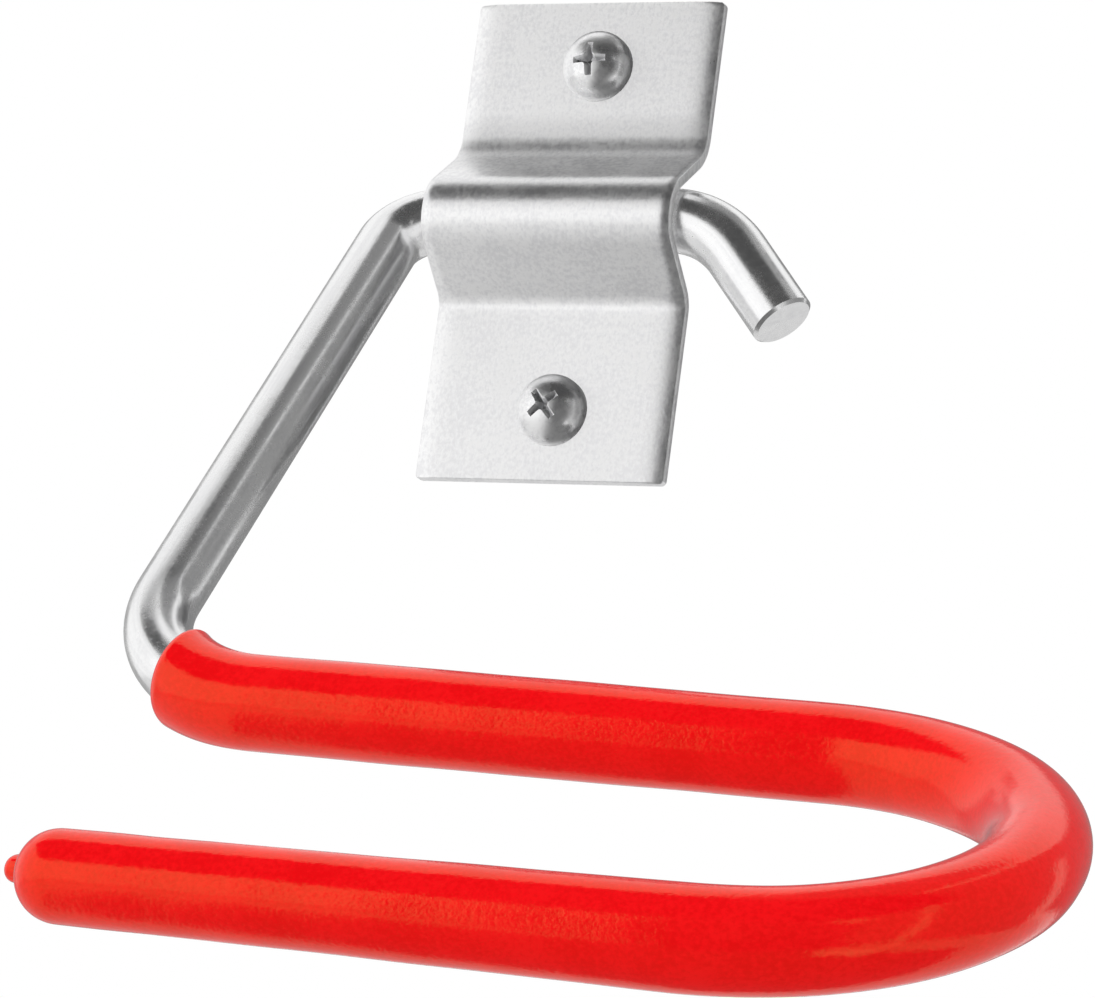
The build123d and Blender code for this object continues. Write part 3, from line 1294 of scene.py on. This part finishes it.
@dataclass
class WoodScrew:
    """A round-head wood screw with a cross recess and a cut thread, its axis along Y.

    height is that of its axis over the origin, and recess_turn is in degrees. The dome's rings are
    evenly close out to fine_r, where the recess is, and follow the ellipse from outer_from degrees on.
    """

    node: str
    name: str
    height: float
    recess_turn: float
    plate_t: float = 2.0
    head_r: float = 5.6
    head_h: float = 5.2
    rim_h: float = 1.3
    rim_draft: float = 0.02
    rim_foot: float = 0.25
    rim_under: float = 0.2
    neck_flare: float = 0.1
    neck_drop: float = 0.15
    recess_span: float = 5.4
    recess_width: float = 1.3
    recess_depth: float = 2.2
    wing_narrowing: float = 0.22
    core_reach: float = 1.8125
    core_slant: float = 0.78
    floor_rise: float = 0.72
    floor_power: float = 1.5
    wall_steepness: float = 3.6
    fine_r: float = 3.6
    fine_rings: int = 62
    first_ring: float = 0.02
    outer_from: float = 41.5
    outer_rings: int = 22
    neck_r: float = 2.5
    thread_r: float = 2.75
    core_r: float = 1.95
    pitch: float = 2.3
    length: float = 30.0
    point: float = 7.0
    tip_share: float = 0.06
    point_power: float = 0.85
    thread_start: float = 0.3
    thread_fade: float = 2.5
    neck_fade: float = 1.2
    rows_per_pitch: int = 16
    ridge_half: float = 0.30
    ridge_power: float = 1.3
    around: int = 192
    crease: float = 40.0
    finish: ZincScrew = field(default_factory=ZincScrew)

    def recess(self, across: Array, up: Array) -> Array:
        """Depth of the cross recess under the dome.

        Formula: inside the cross, the distance from its outline times a steepness, but never more
        than a floor that rises from the middle towards the ends of the wings. The wings narrow
        outwards, and a diamond widens the cross in the middle.

        Args:
            across: Position across the head.
            up: Position up the head.

        Returns:
            Depth, zero outside the cross.
        """
        turn = np.radians(self.recess_turn)
        a = np.abs(across * np.cos(turn) + up * np.sin(turn))
        b = np.abs(-across * np.sin(turn) + up * np.cos(turn))
        wing, half = self.recess_span / 2, self.recess_width / 2
        long_way, short_way = np.maximum(a, b), np.minimum(a, b)
        narrowing = half * (1 - self.wing_narrowing * long_way / wing)
        inside = np.minimum(narrowing - short_way, wing - long_way)
        core = self.core_reach * half - (a + b) * self.core_slant
        inside = np.maximum(inside, np.minimum(core, wing))
        rise = self.floor_rise * (long_way / wing) ** self.floor_power
        floor = self.recess_depth * np.clip(1 - rise, 0, 1)
        return np.minimum(np.clip(inside, 0, None) * self.wall_steepness, floor)

    def skin(self) -> Skin:
        """Head, rim, underside, neck, thread and point as one closed surface.

        Formula: points on circles about the screw's axis. The dome is a quarter ellipse less the
        recess. The thread's radius is the core plus a sharp wave of distance over pitch less angle
        over a full turn, both narrowing over the point to tip_share. The rim's points are pairs of
        radius and height over the plate.

        Returns:
            The gathered patches.
        """
        angles = np.linspace(0, 2 * np.pi, self.around, endpoint=False)
        cosine, sine = np.cos(angles), np.sin(angles)
        inner = np.linspace(self.first_ring, self.fine_r, self.fine_rings)
        outer = np.sin(np.radians(np.linspace(self.outer_from, 90, self.outer_rings)))
        rings = np.concatenate([inner, self.head_r * outer])
        across, up = rings[:, None] * cosine, rings[:, None] * sine
        dome = self.rim_h + (self.head_h - self.rim_h) * np.sqrt(
            np.clip(1 - (rings / self.head_r) ** 2, 0, 1)
        )
        dip = self.recess(across, up)
        out = dome[:, None] - dip
        # The recess depth goes into the pattern coordinates, and the material paints shade into the recess
        # from it
        mark = np.stack([0 * dip, 0 * dip, dip], axis=-1)
        face = self.placed(across, up, -self.plate_t - out)
        made = Skin()
        made.fan(face[0][::-1], face[0].mean(0), np.vstack([mark[0][::-1], mark[0].mean(0)]))
        made.grid(face, mark, closed=True)
        rim = np.array(
            [
                [self.head_r, self.rim_h],
                [self.head_r - self.rim_draft, self.rim_foot],
                [self.head_r - self.rim_under, 0.0],
                [self.neck_r + self.neck_flare, 0.0],
                [self.neck_r, -self.neck_drop],
                [self.neck_r, -self.plate_t],
            ]
        )
        start = self.thread_start
        rows = np.arange(start, self.length - self.plate_t, self.pitch / self.rows_per_pitch)
        core, crest = self.taper(rows, self.core_r), self.taper(rows, self.thread_r)
        phase = (rows[:, None] / self.pitch - angles[None, :] / (2 * np.pi)) % 1.0
        ridge = np.clip(1 - np.abs(phase - 0.5) / self.ridge_half, 0, 1) ** self.ridge_power
        fade = smoothstep(0.0, self.thread_fade, rows - start)[:, None]
        radius = core[:, None] + (crest - core)[:, None] * ridge * fade
        neck = 1 - smoothstep(0, self.neck_fade, rows - start)
        radius = radius + (self.neck_r - self.core_r) * neck[:, None]
        sides_r = np.concatenate([rim[:, 0][:, None] * np.ones(self.around), radius])
        sides_y = np.concatenate([-self.plate_t - rim[:, 1], rows])[:, None] * np.ones(self.around)
        sides = self.placed(sides_r * cosine, sides_r * sine, sides_y)
        made.grid(sides, np.zeros_like(sides), closed=True)
        tip = np.array([0.0, self.length - self.plate_t, self.height])
        made.fan(sides[-1], tip, np.zeros((self.around + 1, 3)))
        return made

    def taper(self, rows: Array, radius: float) -> Array:
        """Radius along the shank: constant, then falling over the point."""
        left = np.clip((self.length - self.plate_t - rows) / self.point, 0, 1)
        return radius * (self.tip_share + (1 - self.tip_share) * left**self.point_power)

    def placed(self, across: Array, up: Array, y: Array) -> Array:
        """Points round the screw's own axis, in the frame."""
        return np.stack([across, y, up + self.height], axis=-1)

    def build(self) -> bpy.types.Object:
        """Make the screw, dress it and put it on its body in place of its CAD node.

        Returns:
            The piece.
        """
        made = self.skin().piece(self.name, self.crease)
        made.data.materials.append(self.finish.material())
        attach(made, Body.BRACKET.value)
        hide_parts(self.node)
        made.visible_glossy = False
        return made


# The studio


@dataclass(frozen=True)
class Card:
    """A flat rectangle that only mirror-like surfaces see, in metres."""

    name: str
    centre: Place
    half_across: Place
    half_up: Place
    radiance: float

    def build(self) -> bpy.types.Object:
        """Make the card.

        Formula: point = centre + u half_across + v half_up, with u and v from minus one to one.

        Returns:
            The card.
        """
        u, v = np.meshgrid([-1.0, 1.0], [-1.0, 1.0])
        across, up = np.array(self.half_across), np.array(self.half_up)
        made = Skin()
        made.grid((np.array(self.centre) + u[..., None] * across + v[..., None] * up) / MM)
        card = made.piece(self.name)
        g = Graph(self.name)
        glow = g.node(
            "ShaderNodeEmission", {}, {"Color": (1.0, 1.0, 1.0, 1.0), "Strength": self.radiance}
        )
        g.node("ShaderNodeOutputMaterial", {}, {"Surface": Wire(g, glow.outputs[0])})
        card.data.materials.append(g.material)
        card.visible_camera = False
        card.visible_diffuse = False
        card.visible_shadow = False
        card.visible_transmission = False
        return card


@dataclass(frozen=True)
class SoftBox:
    """A large lamp that faces the bracket, its angles in degrees and its sizes in metres."""

    name: str
    azimuth: float
    elevation: float
    width: float
    height: float
    radiance: float
    distance: float = 2.2

    def build(self) -> bpy.types.Object:
        """Make the lamp.

        Formula: power is pi times radiance times area. Azimuth runs from the bracket's front to its
        right, and the lamp stands that distance from the origin and faces it.

        Returns:
            The lamp.
        """
        lamp = bpy.data.lights.new(self.name, "AREA")
        lamp.shape = "RECTANGLE"
        lamp.size, lamp.size_y = self.width, self.height
        lamp.energy = float(np.pi * self.radiance * self.width * self.height)
        made = bpy.data.objects.new(self.name, lamp)
        az, el = np.radians(self.azimuth), np.radians(self.elevation)
        back = np.array([np.sin(az) * np.cos(el), -np.cos(az) * np.cos(el), np.sin(el)])
        right = unit(np.cross([0.0, 0.0, 1.0], back))
        up = np.cross(back, right)
        frame = np.eye(4)
        frame[:3, 0], frame[:3, 1], frame[:3, 2] = right, up, back
        frame[:3, 3] = back * self.distance
        made.matrix_world = Matrix(frame.tolist())
        made.visible_camera = False
        made.visible_glossy = False
        bpy.context.scene.collection.objects.link(made)
        return made


@dataclass(frozen=True)
class Studio:
    """Plain pale floor, white surroundings, a soft lamp, cards and the camera at the photograph's view.

    The camera's place is in millimetres, and its directions are made square to each other.
    """

    floor_z: float = -1.0
    floor_size: float = 12.0
    floor_colour: Colour = (0.74, 0.74, 0.74, 1.0)
    floor_rough: float = 0.9
    seen_white: float = 1.0
    ambient: float = 0.93
    lens: float = 176.75
    sensor: float = 36.0
    clip: Span = (0.01, 50.0)
    position: Place = (342.582, -729.559, -232.095)
    right: Place = (0.91009, 0.39369, 0.12943)
    up: Place = (-0.02335, -0.26310, 0.96449)

    def floor(self) -> None:
        """Lay the floor."""
        half = self.floor_size / 2 / MM
        span = np.linspace(-half, half, 3)
        x, y = np.meshgrid(span, span)
        made = Skin()
        made.grid(np.stack([x, y, np.full_like(x, self.floor_z / MM)], axis=-1).transpose(1, 0, 2))
        floor = made.piece("studio_floor")
        g = Graph("studio_floor")
        g.finish({"Base Color": self.floor_colour, "Roughness": self.floor_rough, "Specular IOR Level": 0.0})
        floor.data.materials.append(g.material)

    def surroundings(self) -> None:
        """White where the camera or a mirror-like surface looks, a soft grey fill elsewhere."""
        world = bpy.data.worlds.new("studio_white")
        world.use_nodes = True
        tree = world.node_tree
        tree.nodes.clear()
        path = tree.nodes.new("ShaderNodeLightPath")
        seen = path.outputs["Is Camera Ray"]
        for other in ("Is Glossy Ray", "Is Transmission Ray"):
            most = tree.nodes.new("ShaderNodeMath")
            most.operation = "MAXIMUM"
            tree.links.new(seen, most.inputs[0])
            tree.links.new(path.outputs[other], most.inputs[1])
            seen = most.outputs[0]
        mix = tree.nodes.new("ShaderNodeMixShader")
        tree.links.new(seen, mix.inputs[0])
        for number, strength in ((1, self.ambient), (2, self.seen_white)):
            light = tree.nodes.new("ShaderNodeBackground")
            light.inputs["Strength"].default_value = strength
            light.inputs["Color"].default_value = (1.0, 1.0, 1.0, 1.0)
            tree.links.new(light.outputs[0], mix.inputs[number])
        output = tree.nodes.new("ShaderNodeOutputWorld")
        tree.links.new(mix.outputs[0], output.inputs[0])
        bpy.context.scene.world = world

    def camera(self) -> None:
        """Set the camera: its axes and place were fitted to the photograph's outlines."""
        data = bpy.data.cameras.new("photo_view")
        data.lens, data.sensor_width = self.lens, self.sensor
        data.clip_start, data.clip_end = self.clip
        camera = bpy.data.objects.new("photo_view", data)
        right = unit(self.right)
        back = unit(np.cross(right, self.up))
        frame = np.eye(4)
        frame[:3, 0], frame[:3, 1], frame[:3, 2] = right, np.cross(back, right), back
        frame[:3, 3] = np.array(self.position) * MM
        camera.matrix_world = Matrix(frame.tolist())
        bpy.context.scene.collection.objects.link(camera)
        bpy.context.scene.camera = camera

    def cards(self) -> None:
        """Hang the cards, which the plating and the coat mirror as lighter and darker bands."""
        for card in (
            Card("left_glow", (-1.29, -1.78, 0.10), (0.93, -0.68, 0.0), (0.0, 0.0, 0.86), 1.12),
            Card("ceiling_front", (0.1, -1.28, 1.0), (1.3, 0.0, 0.0), (0.0, 1.07, 0.0), 0.08),
            Card("floor_right", (0.57, -0.4, -0.99), (0.93, 0.0, 0.0), (0.0, 1.2, 0.0), 0.18),
            Card("ceiling_middle", (0.59, 0.05, 1.0), (0.71, 0.0, 0.0), (0.0, 0.26, 0.0), 0.26),
            Card("ceiling_right", (0.95, 0.75, 1.0), (0.40, 0.0, 0.0), (0.0, 0.44, 0.0), 0.28),
            Card("ceiling_strip", (0.55, 0.3, 0.97), (0.035, 0.0, 0.0), (0.0, 0.5, 0.0), 1.1),
            Card("side_strip", (1.5, -0.52, 0.3), (0.0, 0.06, 0.0), (0.0, 0.0, 1.1), 1.12),
            Card("low_spot", (0.95, -0.6, -0.75), (0.12, 0.19, 0.0), (0.0, 0.0, 0.12), 1.12),
            Card("back", (0.15, 1.6, 0.65), (1.05, 0.0, 0.0), (0.0, 0.0, 0.85), 0.26),
            Card("back_left", (-1.5, 1.3, 0.3), (0.45, 0.5, 0.0), (0.0, 0.0, 0.9), 0.42),
            Card("front", (1.1, -1.5, -0.1), (1.3, 0.0, 0.0), (0.0, 0.0, 0.9), 0.11),
            Card("right", (1.6, 0.1, 0.45), (0.0, 1.5, 0.0), (0.0, 0.0, 1.05), 0.28),
        ):
            card.build()

    def build(self) -> None:
        """Set up everything round the bracket."""
        self.floor()
        self.surroundings()
        SoftBox("front_left_box", -36.0, 8.0, 2.2, 2.3, 0.65).build()
        self.cards()
        self.camera()
        bpy.context.scene.view_settings.view_transform = "Standard"


def corners(bounds: Bounds) -> List[List[float]]:
    """Lowest and highest corner as plain lists."""
    return [[float(value) for value in corner] for corner in bounds]


def main() -> None:
    """Load the frame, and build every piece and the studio."""
    logging.basicConfig(level=logging.INFO, format="%(name)s: %(message)s")
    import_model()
    line = HookRoute()
    pieces = [
        SaddlePlate(),
        RodBar(line),
        DippedCoat(line),
        WoodScrew("screw_upper", "upper_screw", 28.0, 4.0),
        WoodScrew("screw_lower", "lower_screw", -28.0, 40.0),
    ]
    for piece in pieces:
        made = piece.build()
        log.info("%s: %d points, %d faces", made.name, len(made.data.vertices), len(made.data.polygons))
    Studio().build()


if __name__ == "__main__":
    main()
